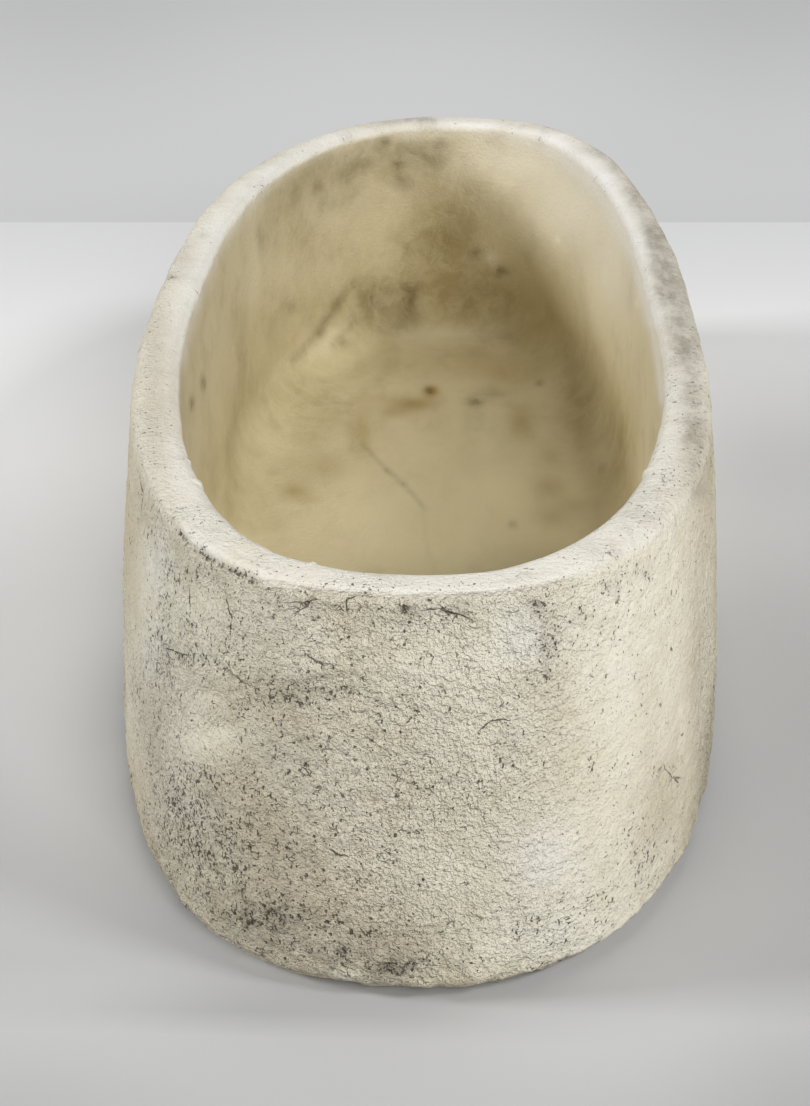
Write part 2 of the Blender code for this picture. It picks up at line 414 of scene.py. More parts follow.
INSIDE_MARKS = {
    "rust": (
        (431, 391, 8, 6, 1.0), (414, 403, 22, 7, 0.7), (395, 411, 18, 6, 0.4),
        (297, 491, 14, 8, 0.4), (308, 500, 14, 5, 0.25), (362, 430, 10, 24, 0.45),
        (537, 327, 14, 10, 0.3), (549, 487, 16, 12, 0.35), (552, 517, 16, 10, 0.3),
        (500, 372, 26, 14, 0.35), (521, 422, 14, 18, 0.5), (330, 466, 22, 12, 0.25),
        (450, 300, 40, 26, 0.15), (600, 480, 16, 16, 0.2), (575, 505, 16, 8, 0.25),
        (460, 360, 50, 18, 0.25), (549, 455, 12, 12, 0.25), (300, 437, 14, 8, 0.15),
        (381, 398, 20, 8, 0.25),
    ),
    "soot": (
        (474, 402, 9, 5, 1.0), (490, 393, 18, 6, 0.4), (429, 389, 4, 3, 0.7),
        (602, 469, 5, 6, 0.3), (292, 489, 6, 5, 0.2), (500, 272, 9, 4.5, 1.0),
        (475, 253, 7, 5, 0.6), (203, 383, 2.5, 7, 0.9), (192, 403, 2.5, 6, 0.9),
        (540, 383, 4, 4, 0.5), (513, 525, 4, 4, 0.45), (345, 343, 9, 6, 0.5),
        (363, 322, 24, 12, 0.3), (377, 298, 20, 14, 0.3), (396, 325, 20, 10, 0.3),
        (400, 164, 8, 5, 0.8), (402, 181, 12, 7, 0.65), (384, 140, 6, 9, 0.7),
        (318, 187, 6, 7, 0.65), (342, 178, 14, 8, 0.35), (357, 165, 18, 8, 0.35),
        (428, 160, 20, 10, 0.4), (493, 140, 8, 6, 0.4), (345, 200, 40, 12, 0.15),
        (290, 307, 8, 7, 0.5), (260, 240, 4, 16, 0.5), (268, 160, 4, 12, 0.3),
        (408, 251, 7, 7, 0.5), (455, 352, 50, 5, 0.12), (333, 402, 16, 4, 0.2),
        (318, 380, 14, 5, 0.15), (372, 140, 12, 8, 0.3), (295, 190, 8, 10, 0.25),
        (402, 154, 36, 10, 0.22), (345, 162, 32, 12, 0.15), (328, 152, 9, 6, 0.35),
        (362, 142, 8, 7, 0.35), (386, 137, 5, 10, 0.6), (410, 146, 12, 7, 0.4),
        (438, 144, 14, 7, 0.45), (330, 205, 10, 8, 0.2), (411, 300, 9, 22, 0.6),
        (470, 298, 30, 18, 0.25), (440, 238, 20, 14, 0.15), (380, 300, 24, 18, 0.3),
        (505, 335, 14, 8, 0.3),
    ),
    # Painted shade where the lamps' shadows meet on the far wall, along the floor's shaded right
    # strip and in the left corner; damp stains too:
    "dark_shade_and_damp": (
        (440, 250, 50, 50, 0.9), (411, 300, 12, 26, 0.95), (462, 298, 50, 30, 0.9),
        (440, 240, 30, 20, 0.5), (450, 205, 30, 32, 0.6), (495, 308, 40, 28, 0.52),
        (545, 350, 34, 30, 0.3), (585, 400, 24, 50, 0.5), (622, 440, 14, 50, 0.7),
        (560, 420, 30, 50, 0.25), (232, 460, 9, 70, 0.35), (250, 380, 10, 50, 0.3),
        (370, 300, 34, 34, 0.8), (280, 330, 20, 30, 0.3), (420, 372, 60, 12, 0.15),
        (480, 355, 70, 14, 0.25), (400, 160, 70, 20, 0.6), (335, 172, 40, 20, 0.3),
        (290, 215, 30, 40, 0.4), (305, 400, 50, 40, 0.6), (250, 480, 16, 40, 0.25),
        (330, 250, 40, 30, 0.25),
    ),
    # White chips and pale clay, and painted light on the lit upper right wall:
    "pale": (
        (557, 240, 3, 3, 1.0), (637, 303, 3, 4, 0.6), (490, 258, 8, 6, 0.5),
        (445, 335, 44, 8, 0.3), (530, 160, 60, 34, 0.9), (575, 205, 44, 44, 1.0),
        (612, 260, 30, 60, 0.7), (632, 330, 18, 60, 0.15), (327, 343, 4, 10, 0.15),
        (334, 141, 10, 6, 0.8), (350, 139, 5, 7, 0.6), (373, 133, 5, 6, 0.7),
        (408, 135, 14, 7, 0.9), (350, 158, 24, 8, 0.3), (440, 133, 20, 6, 0.7),
        (405, 155, 30, 10, 0.2), (460, 165, 30, 14, 0.3), (300, 270, 40, 16, 0.15),
    ),
    # Painted light near the lip on the upper right wall:
    "halo": (
        (575, 205, 40, 50, 0.25), (612, 270, 24, 60, 0.2), (520, 155, 40, 16, 0.2),
    ),
    # Painted light: the lit floor near the front, made pale:
    "warm": (
        (430, 465, 60, 60, 0.66), (430, 540, 80, 40, 0.8), (365, 510, 60, 40, 0.4),
        (505, 500, 50, 50, 0.9), (580, 500, 40, 40, 0.7), (550, 530, 50, 24, 0.8),
        (560, 440, 40, 40, 0.3),
    ),
}

MARKS = {"outside": OUTSIDE_MARKS, "lip": LIP_MARKS, "inside": INSIDE_MARKS}

# Outer places with few pits
CALM_MARKS = (
    (208, 738, 34, 20, 1.0), (210, 697, 18, 12, 0.7), (144, 590, 12, 50, 0.6),
    (625, 700, 62, 100, 0.75), (600, 850, 70, 70, 0.5), (308, 895, 14, 10, 0.6),
    (690, 700, 24, 120, 0.75), (540, 850, 40, 60, 0.5), (490, 950, 40, 30, 0.5),
    (205, 600, 24, 12, 0.6), (500, 640, 26, 40, 0.6), (400, 650, 30, 20, 0.4),
    (495, 735, 30, 40, 0.4), (450, 650, 34, 30, 0.4), (150, 570, 22, 40, 0.4),
    (470, 870, 40, 40, 0.4), (460, 690, 30, 24, 0.3),
)

# Soft straight strokes: from, to, half width, strength
INSIDE_STROKES = {
    "soot": (
        (294, 359, 318, 333, 4.5, 0.5), (318, 333, 338, 304, 5.0, 0.5),
        (338, 304, 354, 284, 5.0, 0.4), (334, 345, 356, 322, 5.0, 0.3),
        (356, 322, 376, 290, 6.0, 0.3), (363, 443, 387, 470, 3.0, 0.28),
        (387, 470, 404, 484, 3.2, 0.36), (404, 484, 424, 508, 3.0, 0.25),
        (423, 512, 429, 556, 3.0, 0.08), (350, 410, 352, 450, 4.0, 0.12),
    ),
    "pale": (
        (310, 358, 336, 331, 4.0, 0.12), (336, 331, 356, 303, 4.0, 0.15),
        (325, 354, 333, 332, 4.5, 0.18), (402, 488, 424, 512, 2.2, 0.2),
        (258, 245, 250, 300, 5.0, 0.15), (440, 340, 480, 330, 6.0, 0.12),
    ),
}

# Dust along the outer side of the lip
DUST_STROKES = (
    (594, 146, 613, 165, 7.0, 0.3), (613, 165, 636, 196, 9.0, 0.4),
    (636, 196, 656, 237, 12.0, 0.5), (654, 237, 670, 288, 16.0, 0.76),
    (672, 288, 685, 350, 17.0, 0.72), (685, 350, 694, 430, 14.0, 0.45),
    (694, 430, 696, 490, 12.0, 0.35),
)

# Painted highlight, broad over the pale clay, where the lip rolls over to the inner face
HALO_STROKES = (
    (515, 133, 555, 144, 10.0, 0.5), (555, 144, 600, 182, 13.0, 0.9),
    (600, 182, 634, 245, 12.5, 0.9), (634, 245, 652, 320, 7.5, 0.85),
    (652, 320, 662, 400, 4.5, 0.6), (340, 132, 270, 174, 8.0, 0.5),
    (270, 174, 220, 232, 10.0, 0.6), (220, 232, 192, 300, 9.0, 0.6),
    (192, 300, 180, 360, 5.0, 0.4), (440, 122, 490, 126, 5.0, 0.4),
)

# Cracks of the outer face: half width in millimetres, then the line in pixels
CRACKS = (
    (0.4, ((140, 476), (142, 492), (141, 508))),
    (0.34, ((226, 592), (228, 606), (231, 620), (230, 636))), (0.27, ((189, 590), (190, 607))),
    (0.24, ((348, 612), (347, 598), (363, 593))), (0.27, ((292, 602), (304, 603), (313, 599))),
    (0.24, ((298, 614), (306, 606), (312, 599))),
    (0.31, ((427, 610), (440, 609), (453, 612), (462, 616), (472, 620))),
    (0.27, ((482, 727), (491, 722), (505, 720))), (0.15, ((663, 766), (671, 777), (677, 783))),
    (0.13, ((679, 777), (671, 777), (668, 786))), (0.27, ((166, 648), (176, 652), (186, 656))),
    (0.31, ((236, 677), (242, 682), (247, 684))), (0.24, ((169, 671), (171, 690))),
    (0.27, ((308, 656), (316, 661), (323, 664))), (0.24, ((366, 736), (370, 741), (375, 745))),
    (0.24, ((330, 850), (338, 855), (348, 856))), (0.24, ((273, 587), (284, 587))),
)

# Single pits, chips and lumps of each zone: column, row, width and depth in millimetres.
# A lump has a negative depth.
DENTS = {
    "outside": (
        (163, 620, 2.6, 0.8), (175, 717, 2.2, 0.8), (351, 660, 3.0, 0.6), (367, 770, 2.2, 0.8),
        (344, 741, 2.2, 0.6), (319, 616, 2.4, 0.6), (472, 620, 2.6, 0.9), (451, 760, 3.0, 0.6),
        (631, 756, 1.6, 0.5), (246, 929, 2.8, 0.9), (264, 944, 3.0, 0.9), (379, 911, 2.6, 0.7),
        (344, 923, 2.2, 0.7), (407, 966, 4.0, 0.9), (385, 968, 3.2, 0.8), (222, 875, 2.6, 0.7),
        (204, 785, 2.4, 0.7), (543, 654, 2.2, 0.7), (546, 684, 2.6, 0.7), (535, 606, 3.4, 0.7),
        (514, 687, 2.2, 0.6), (407, 610, 3.6, 0.8), (560, 972, 4.0, 1.0), (525, 975, 3.4, 0.7),
        (240, 672, 12.0, -0.5), (345, 978, 7.0, -0.7), (285, 660, 10.0, -0.35),
    ),
    "lip": (
        (314, 564, 2.6, -0.9), (198, 484, 5.5, -1.1), (189, 462, 4.0, -0.7), (184, 452, 3.0, 0.7),
        (646, 472, 5.0, -0.9), (653, 446, 4.0, 0.6), (172, 276, 4.0, 0.9), (523, 571, 1.6, 0.5),
        (610, 553, 4.0, 0.4),
    ),
    "inside": (
        (430, 392, 2.6, 0.5), (474, 403, 2.8, 0.5), (497, 268, 4.0, 0.9), (490, 262, 7.0, -1.0),
        (556, 240, 2.4, -0.5), (203, 382, 3.0, 0.6),
    ),
}

# What is painted on the skin for the clay's colour and relief
LAYERS = (
    "lip", "inside", "pitted", "grit", "grime_and_shade", "lilac", "warm", "pale", "rust", "soot", "dark_shade_and_damp",
    "halo", "cavity", "crack", "crack_half",
)

# The clay's relief: where it lies, its height, and the seed and scale of its noise
RELIEF = (
    ("everywhere", 0.0009, 21, 8.0),
    ("everywhere", 0.0005, 22, (26.0, 26.0, 20.0)),
    ("lip", 0.00035, 23, 60.0),
    ("outside", 0.00030, 24, (62.0, 62.0, 100.0)),
    ("coarse", 0.00044, 25, (130.0, 130.0, 200.0)),
    ("coarse", 0.00030, 26, (300.0, 300.0, 380.0)),
    ("coarse", 0.00014, 27, 620.0),
    ("inside", 0.00045, 28, (34.0, 34.0, 12.0)),
    ("inside", 0.00016, 29, (90.0, 90.0, 50.0)),
)

# The ragged foot: its height on the pot, reach, roughness and loss of clay
RAGGED_Z = 0.009
RAGGED_REACH = 0.006
RAGGED_HEIGHT = 0.0010
RAGGED_LOSS = 0.0005

# The crease is a groove with a roll above it; the torn seam is a step with a groove below it
CREASE_DEPTH = 0.0013
CREASE_HALF = 0.0012
ROLL_HEIGHT = 0.0006
TORN_STEP = 0.0005
TORN_DEPTH = 0.0007
TORN_HALF = 0.0008
# How strong both are where the photograph doesn't show them
HIDDEN_JOINT = 0.35
# Pixels over which they fade in at the two ends of their lines in the photograph
LINE_FADE = 25

# The photograph's marks on the outer face end at this place along the pot
PHOTO_END_Y = 0.12
# Faces turned further from the camera than this cosine can't take a single pit or crack
GRAZING = 0.02
# The flat underside lies below this height and stays smooth
UNDERSIDE_Z = 0.0004

# Number of small pits, and how many rows of the mesh each can reach
SEEDED_PITS = 420
PIT_BLOCK = 5
# How far the distance to a crack is kept, and half the width of the groove along it
CRACK_REACH = 0.006
CRACK_GROOVE = 0.0007

# Grid points closer to a disc's edge than this share of the grid are left out
DISC_MARGIN = 0.7


def painted(marks, x, y):
    """Strength of a group of marks at each pixel place; overlapping marks add up softly."""
    clear = np.ones_like(x)
    for column, row, wide, high, strength in marks:
        far = ((x - column) / wide) ** 2 + ((y - row) / high) ** 2
        clear *= 1.0 - strength * np.exp(-far)
    return 1.0 - clear


def stroked(strokes, x, y):
    """Strength of a group of soft straight strokes at each pixel place."""
    clear = np.ones_like(x)
    for x0, y0, x1, y1, half, strength in strokes:
        share = ((x - x0) * (x1 - x0) + (y - y0) * (y1 - y0)) / ((x1 - x0) ** 2 + (y1 - y0) ** 2)
        share = np.clip(share, 0.0, 1.0)
        far = np.hypot(x - x0 - share * (x1 - x0), y - y0 - share * (y1 - y0)) / half
        clear *= 1.0 - strength * np.exp(-(far**2))
    return 1.0 - clear


class Skin:
    """The whole outer and inner surface as one grid, plus the floor and underside discs."""

    def __init__(self):
        self.plan = Plan(station_turns())
        self.view = Viewpoint(self.plan.middle)
        self.stations = len(self.plan.turn)
        grid, self.reach = self.rest_grid()
        self.rows = len(grid)
        self.grid_size = self.rows * self.stations
        top, self.top_faces = disc(grid[-1], FLOOR_GRID)
        under, self.under_faces = disc(grid[0], UNDERSIDE_GRID)
        top, under = top[self.stations:], under[self.stations:]
        self.top = np.arange(self.grid_size, self.grid_size + len(top))
        self.under = self.top[-1] + 1 + np.arange(len(under))
        self.points = np.concatenate([grid.reshape(-1, 3), top, under])
        upward = np.tile((0.0, 0.0, 1.0), (len(top), 1))
        downward = np.tile((0.0, 0.0, -1.0), (len(under), 1))
        self.normals = np.concatenate([grid_normals(grid).reshape(-1, 3), upward, downward])
        self.height = self.points[:, 2].copy()
        self.zone_weights()
        self.column, self.line = self.view.pixels(self.points)
        self.seen = self.view.facing(self.points, self.normals)
        self.layers = {name: np.zeros(len(self.points)) for name in LAYERS}
        self.layers["crack"] += CRACK_REACH

    def rest_grid(self):
        """Smooth surface, whose rows follow the joints, and its length from the foot up."""
        (base, share, z), corner = section()
        outward = base[:, None] + share[:, None] * self.plan.flare
        points = self.plan.place(outward, z[:, None])
        steps = np.hypot(np.diff(outward, axis=0), np.diff(z)[:, None])
        reach = np.concatenate([np.zeros((1, self.stations)), np.cumsum(steps, axis=0)])
        column, line = self.view.pixels(points)
        crown = corner["crown"]
        seam = self.follow(SEAM_LINE, column, line, reach, z, SEAM_Z, corner["wall"], crown)
        crease = self.follow(
            CREASE_LINE, column, line, reach, z, CREASE_Z + 0.6 * CROWN_RISE,
            crown - DENSE // 4, crown + DENSE // 2,
        )
        marks = [
            reach[corner["under"]], reach[corner["foot"]], reach[corner["wall"]], seam, crease,
            reach[corner["inner_course"]], reach[corner["inner_wall"]], reach[corner["corner"]],
            reach[corner["floor_edge"]], reach[-1],
        ]
        wanted = []
        for band, start, end in zip(BAND_NAMES, marks, marks[1:]):
            shares = np.arange(BANDS[band]) / BANDS[band]
            wanted.append(start + shares[:, None] * (end - start))
        wanted = np.concatenate([*wanted, marks[-1][None]])
        out_rows = np.empty_like(wanted)
        z_rows = np.empty_like(wanted)
        for station in range(self.stations):
            travelled = reach[:, station]
            out_rows[:, station] = np.interp(wanted[:, station], travelled, outward[:, station])
            z_rows[:, station] = np.interp(wanted[:, station], travelled, z)
        self.seam_reach, self.crease_reach = seam, crease
        return self.plan.place(out_rows, z_rows), wanted

    def follow(self, pixel_line, column, line, reach, z, usual_z, low, high):
        """Length up the section at which it crosses a line of the photo, or the usual height."""
        columns, lines = zip(*pixel_line)
        wanted = np.interp(column[low:high], columns, lines)
        above = line[low:high] < wanted
        first = low + np.argmax(above, axis=0)
        stations = np.arange(self.stations)
        met = above.any(axis=0) & (first > low)
        usual = np.argmax(z[low:high] >= usual_z) + low
        at = column[first, stations]
        within = smooth(at, columns[0], columns[0] + LINE_FADE)
        within = within * smooth(-at, -columns[-1], -columns[-1] + LINE_FADE)
        weight = met * (self.plan.y < 0) * within
        found = np.where(met, reach[first, stations], reach[usual])
        return reach[usual] + weight * (found - reach[usual])

    def zone_weights(self):
        """How much of each point is lip, inner face or outer face."""
        grid = self.points[: self.grid_size].reshape(self.rows, self.stations, 3)
        column = self.view.pixels(grid[ROW["crown"]])[0]
        near = self.plan.y < 0
        self.crease_clear = smooth(column, 160, 185) * smooth(-column, -690, -640) * near
        blend = 0.0015 + 0.0105 * (1.0 - self.crease_clear)
        lip = smooth(self.reach - self.crease_reach, -blend, blend)
        # The far left edge is crisper than the others
        crisp = smooth(-column, -500, -440) * (self.plan.y > 0)
        row = np.arange(self.rows)[:, None]
        inside = smooth(row, ROW["inner_course"] - 4, ROW["inner_course"] + 6 - 4 * crisp)
        self.lip = self.spread(lip * (1.0 - inside), 0.0, 0.0)
        self.inside = self.spread(inside, 1.0, 0.0)
        self.outside = 1.0 - self.lip - self.inside
        self.zones = {"outside": self.outside, "lip": self.lip, "inside": self.inside}

    def spread(self, on_grid, on_top, on_underside):
        """Values on the grid followed by one value for each of the two discs."""
        top = np.full(len(self.top), on_top)
        return np.concatenate([on_grid.ravel(), top, np.full(len(self.under), on_underside)])

    def find(self, zone, column, line):
        """Index of the visible point of a zone that lies nearest a pixel."""
        far = np.hypot(self.column - column, self.line - line)
        hidden = (self.zones[zone] < 0.5) | (self.seen < GRAZING)
        return int(np.argmin(np.where(hidden, np.inf, far)))

    def paint(self):
        """Sets the layers: where the photograph shows the pot, its marks, and elsewhere patches."""
        layers = self.layers
        outside, lip, inside = self.outside, self.lip, self.inside
        wide = Noise(11)(self.points, 14.0)
        close = Noise(12)(self.points, 42.0)
        small = Noise(13)(self.points, (130.0, 42.0, 130.0))
        facing = self.seen > 0.0
        seen = smooth(self.seen, 0.05, 0.30) * (self.points[:, 1] < PHOTO_END_Y)
        away = outside * (1.0 - seen)
        pixel = self.column, self.line

        for zone, groups in MARKS.items():
            hit = self.zones[zone] * (seen if zone == "outside" else facing)
            for name, marks in groups.items():
                layers[name] += hit * painted(marks, *pixel)
        for name, strokes in INSIDE_STROKES.items():
            layers[name] = np.maximum(layers[name], stroked(strokes, *pixel) * inside * facing)
        layers["grime_and_shade"] += stroked(DUST_STROKES, *pixel) * facing * (1 - inside)
        layers["halo"] += stroked(HALO_STROKES, *pixel) * facing * (1 - outside)

        calm = painted(CALM_MARKS, *pixel)
        side = smooth(self.column, 500, 640)
        low = smooth(-self.height, -0.07, 0.0)
        base_pits = (0.44 - 0.12 * smooth(self.column, 380, 470) - 0.14 * side) * (1 - 0.75 * calm)
        photo_pits = (1 - (1 - layers["pitted"]) * (1 - base_pits)) * outside
        mixed_pits = smooth(close + 0.35 * wide + 0.35 * low, -0.3, 1.0)
        lip_pits = layers["pitted"] + (1 - seen) * 0.25 * smooth(close, 0.1, 0.6)
        layers["pitted"] = seen * photo_pits + away * (0.22 + 0.55 * mixed_pits) + lip * lip_pits
        photo_grit = (1.0 - 0.75 * side) * (1.0 - 0.6 * calm) * smooth(self.column, 115, 150)
        layers["grit"] = seen * (0.05 + 0.95 * photo_grit) * outside
        layers["grit"] += away * (0.5 + 0.4 * smooth(wide, -0.4, 0.5))

        far_lip = smooth(self.points[:, 1], -0.25, -0.05)
        layers["grit"] += lip * (1 - 0.6 * far_lip) * (0.14 + 0.16 * smooth(close, -0.3, 0.5))
        layers["pitted"] += lip * (1 - 0.8 * far_lip) * (0.16 + 0.16 * smooth(close, -0.2, 0.6))
        # Elsewhere grey patches, more of them towards the bottom
        layers["grime_and_shade"] += away * 0.5 * smooth(wide + 0.9 * low + 0.3 * close, 0.3, 1.3)
        layers["grime_and_shade"] += lip * (1 - seen) * 0.25 * smooth(close, 0.0, 0.5)
        layers["grime_and_shade"] = np.clip(layers["grime_and_shade"] * (1.0 + (0.35 - 0.2 * lip) * small), 0.0, 1.0)
        layers["warm"] += away * 0.6 * smooth(-wide, 0.0, 0.5)
        layers["pale"] += away * 0.6 * smooth(wide - low, 0.1, 0.6)
        layers["soot"] += inside * (1 - facing) * 0.3 * smooth(close, 0.2, 0.7)
        # Elsewhere the dark patches are damp
        layers["dark_shade_and_damp"] += inside * (1 - facing) * 0.4 * smooth(wide, 0.0, 0.6)
        layers["lip"] = lip.copy()
        layers["inside"] = inside.copy()

    def relief(self):
        """How far the clay stands out of the smooth surface."""
        coarse = self.outside * (0.35 + 0.65 * self.layers["grit"])
        weights = {"everywhere": 1.0, "coarse": coarse, **self.zones}
        push = 0.0
        for where, height, seed, scale in RELIEF:
            push = push + weights[where] * height * Noise(seed)(self.points, scale)
        foot = hump(self.height, RAGGED_Z, RAGGED_REACH) * self.outside
        ragged = Noise(30)(self.points, 75.0) + 0.6 * Noise(31)(self.points, 190.0)
        return push + foot * (RAGGED_HEIGHT * ragged - RAGGED_LOSS)

    def joints_relief(self):
        """The crease under the lip and the torn seam between the wall and its top course."""
        size = self.grid_size
        past_crease = (self.reach - self.crease_reach).ravel()
        past_seam = (self.reach - self.seam_reach).ravel()
        points, column = self.points[:size], self.column[:size]
        near = (points[:, 1] < 0.0) & (self.seen[:size] > 0.0)
        rough = Noise(41)(points, 60.0)
        fine = Noise(42)(points, 240.0)

        left = 0.25 + 0.75 * smooth(-column, -330, -250)
        strength = np.where(near, left, HIDDEN_JOINT)
        strength = strength * (0.1 + 0.9 * np.tile(self.crease_clear, self.rows))
        strength = strength * smooth(rough, -0.7, 0.2)
        off = past_crease + 0.0003 * fine
        push = -CREASE_DEPTH * strength * hump(off, -0.0003, CREASE_HALF)
        push += ROLL_HEIGHT * strength * smooth(off, 0.0, 0.0016) * smooth(-off, -0.007, -0.003)

        torn = smooth(column, 150, 200) * smooth(-column, -400, -310)
        torn = np.where(near, torn, HIDDEN_JOINT)
        torn = torn * smooth(Noise(43)(points, 38.0) + 0.5 * rough, -0.35, 0.35)
        off = past_seam + 0.0018 * rough + 0.0011 * fine
        push += torn * TORN_STEP * smooth(off, -0.0004, 0.0004) * smooth(-off, -0.012, -0.002)
        push -= torn * TORN_DEPTH * hump(off, -0.0007, TORN_HALF)

        # Painted shade under the lip's overhang, with its crackle: the crease darkens the cavity and
        # pitted layers
        dark = strength * hump(past_crease, -0.0008, 0.0014) * left * near
        for layer, share in (("cavity", 0.55), ("pitted", 1.0)):
            values = self.layers[layer][:size]
            np.maximum(values, share * dark, out=values)
        return self.spread(push, 0.0, 0.0)

    def dents(self):
        """Single pits, chips and lumps."""
        push = np.zeros(len(self.points))
        rough = Noise(51)(self.points, 420.0)
        for zone, dents in DENTS.items():
            layer = "soot" if zone == "inside" else "cavity"
            for column, line, width, depth in dents:
                centre = self.points[self.find(zone, column, line)]
                far = np.linalg.norm(self.points - centre, axis=1) / (width / 2000.0)
                shape = np.exp(-((far * (1.3 + 0.45 * rough)) ** 2))
                push -= depth / 1000.0 * shape
                # Pits also darken their hollow: painted shade, over the dark of the pit itself
                if depth > 0:
                    self.layers[layer] = np.maximum(self.layers[layer], 0.62 * shape)
        return push

    def seeded_pits(self):
        """Small tilted pits, placed by chance where the clay is most pitted."""
        size = self.grid_size
        push = np.zeros(len(self.points))
        random = np.random.default_rng(61)
        chance = self.layers["pitted"][:size] * self.outside[:size]
        chance = np.clip(chance - 0.15, 0.0, 1.0) ** 1.5
        cavity = self.layers["cavity"]
        for index in random.choice(size, SEEDED_PITS, replace=False, p=chance / chance.sum()):
            width = random.uniform(0.5, 1.0) / 1000.0
            tilt = random.normal(0.0, 0.6)
            stretch = random.uniform(1.0, 2.4)
            depth = random.uniform(0.25, 0.6) / 1000.0
            row, station = divmod(int(index), self.stations)
            rows = np.arange(max(row - PIT_BLOCK, 0), min(row + PIT_BLOCK + 1, self.rows))
            near = np.arange(station - PIT_BLOCK - 1, station + PIT_BLOCK + 2) % self.stations
            block = (rows[:, None] * self.stations + near).ravel()
            away = self.points[block] - self.points[index]
            across = np.cross((0.0, 0.0, 1.0), self.normals[index])
            along = away @ across
            up = np.linalg.norm(away - along[:, None] * across, axis=1) * np.sign(away[:, 2])
            a = along * math.cos(tilt) + up * math.sin(tilt)
            b = up * math.cos(tilt) - along * math.sin(tilt)
            shape = np.exp(-((a / width) ** 2) - (b / width / stretch) ** 2)
            push[block] -= depth * shape
            # Painted shade in the pit's hollow
            cavity[block] = np.maximum(cavity[block], 0.55 * shape)
        return push

    def cracks(self):
        """Signed distance to the nearest crack and its half width there, and a shallow groove."""
        nearest = np.full(len(self.points), CRACK_REACH)
        for half, line in CRACKS:
            spots = [self.points[self.find("outside", *pixel)] for pixel in line]
            normal = self.normals[self.find("outside", *line[len(line) // 2])]
            length = sum(np.linalg.norm(b - a) for a, b in zip(spots, spots[1:]))
            run = 0.0
            for start, end in zip(spots, spots[1:]):
                step = end - start
                size = np.linalg.norm(step)
                away = self.points - start
                share = np.clip(away @ step / size**2, 0.0, 1.0)
                far = np.linalg.norm(away - share[:, None] * step, axis=1)
                signed = far * np.sign(away @ np.cross(normal, step / size))
                place = (run + share * size) / length
                taper = np.minimum(1.0, 0.35 + 3.0 * np.minimum(place, 1.0 - place))
                fade = np.clip(1.0 - far / CRACK_REACH, 0.0, 1.0)
                closer = (far < nearest) & (self.outside > 0.5)
                nearest[closer] = far[closer]
                self.layers["crack"][closer] = signed[closer]
                self.layers["crack_half"][closer] = (half / 1000.0 * taper * fade)[closer]
                run += size
        return -0.5 * self.layers["crack_half"] * hump(nearest, 0.0, CRACK_GROOVE)

    def shape(self):
        """Moves the points, and works out the normals of the roughened grid."""
        push = self.relief() + self.joints_relief() + self.dents() + self.seeded_pits()
        push = np.where(self.height < UNDERSIDE_Z, 0.0, push + self.cracks())
        self.points = self.points + push[:, None] * self.normals
        self.points[:, 2] = np.maximum(self.points[:, 2], 0.0)
        grid = self.points[: self.grid_size].reshape(self.rows, self.stations, 3)
        self.normals[: self.grid_size] = grid_normals(grid).reshape(-1, 3)


def grid_normals(grid):
    """Unit normals of a grid whose columns close round the pot."""
    round_it = np.roll(grid, -1, axis=1) - np.roll(grid, 1, axis=1)
    up = np.gradient(grid, axis=0)
    normals = np.cross(round_it, up)
    return normals / np.linalg.norm(normals, axis=2, keepdims=True)


def disc(ring, spacing):
    """Points and triangles that fill a level ring: the ring's own points come first."""
    angle = np.arctan2(ring[:, 1], ring[:, 0])
    order = np.argsort(angle)
    radius = np.hypot(ring[:, 0], ring[:, 1])
    low, high = ring.min(axis=0), ring.max(axis=0)
    x, y = np.meshgrid(np.arange(low[0], high[0], spacing), np.arange(low[1], high[1], spacing))
    x, y = x.ravel(), y.ravel()
    edge = np.interp(np.arctan2(y, x), angle[order], radius[order], period=2 * math.pi)
    kept = np.hypot(x, y) < edge - DISC_MARGIN * spacing
    flat = np.concatenate([ring[:, :2], np.stack([x, y], axis=1)[kept]])
    border = [list(range(len(ring)))]
    made = delaunay_2d_cdt([Vector(p) for p in flat], [], border, 1, 1e-7)
    return np.array([(*p, ring[0, 2]) for p in made[0]]), np.array(made[2])


def placed(name, data):
    """A new object in the scene."""
    item = bpy.data.objects.new(name, data)
    bpy.context.scene.collection.objects.link(item)
    return item


def add_layer(mesh, name, values):
    """Gives each point of the mesh a value that the materials can read."""
    attribute = mesh.attributes.new(name, "FLOAT", "POINT")
    attribute.data.foreach_set("value", values.astype(np.float32))


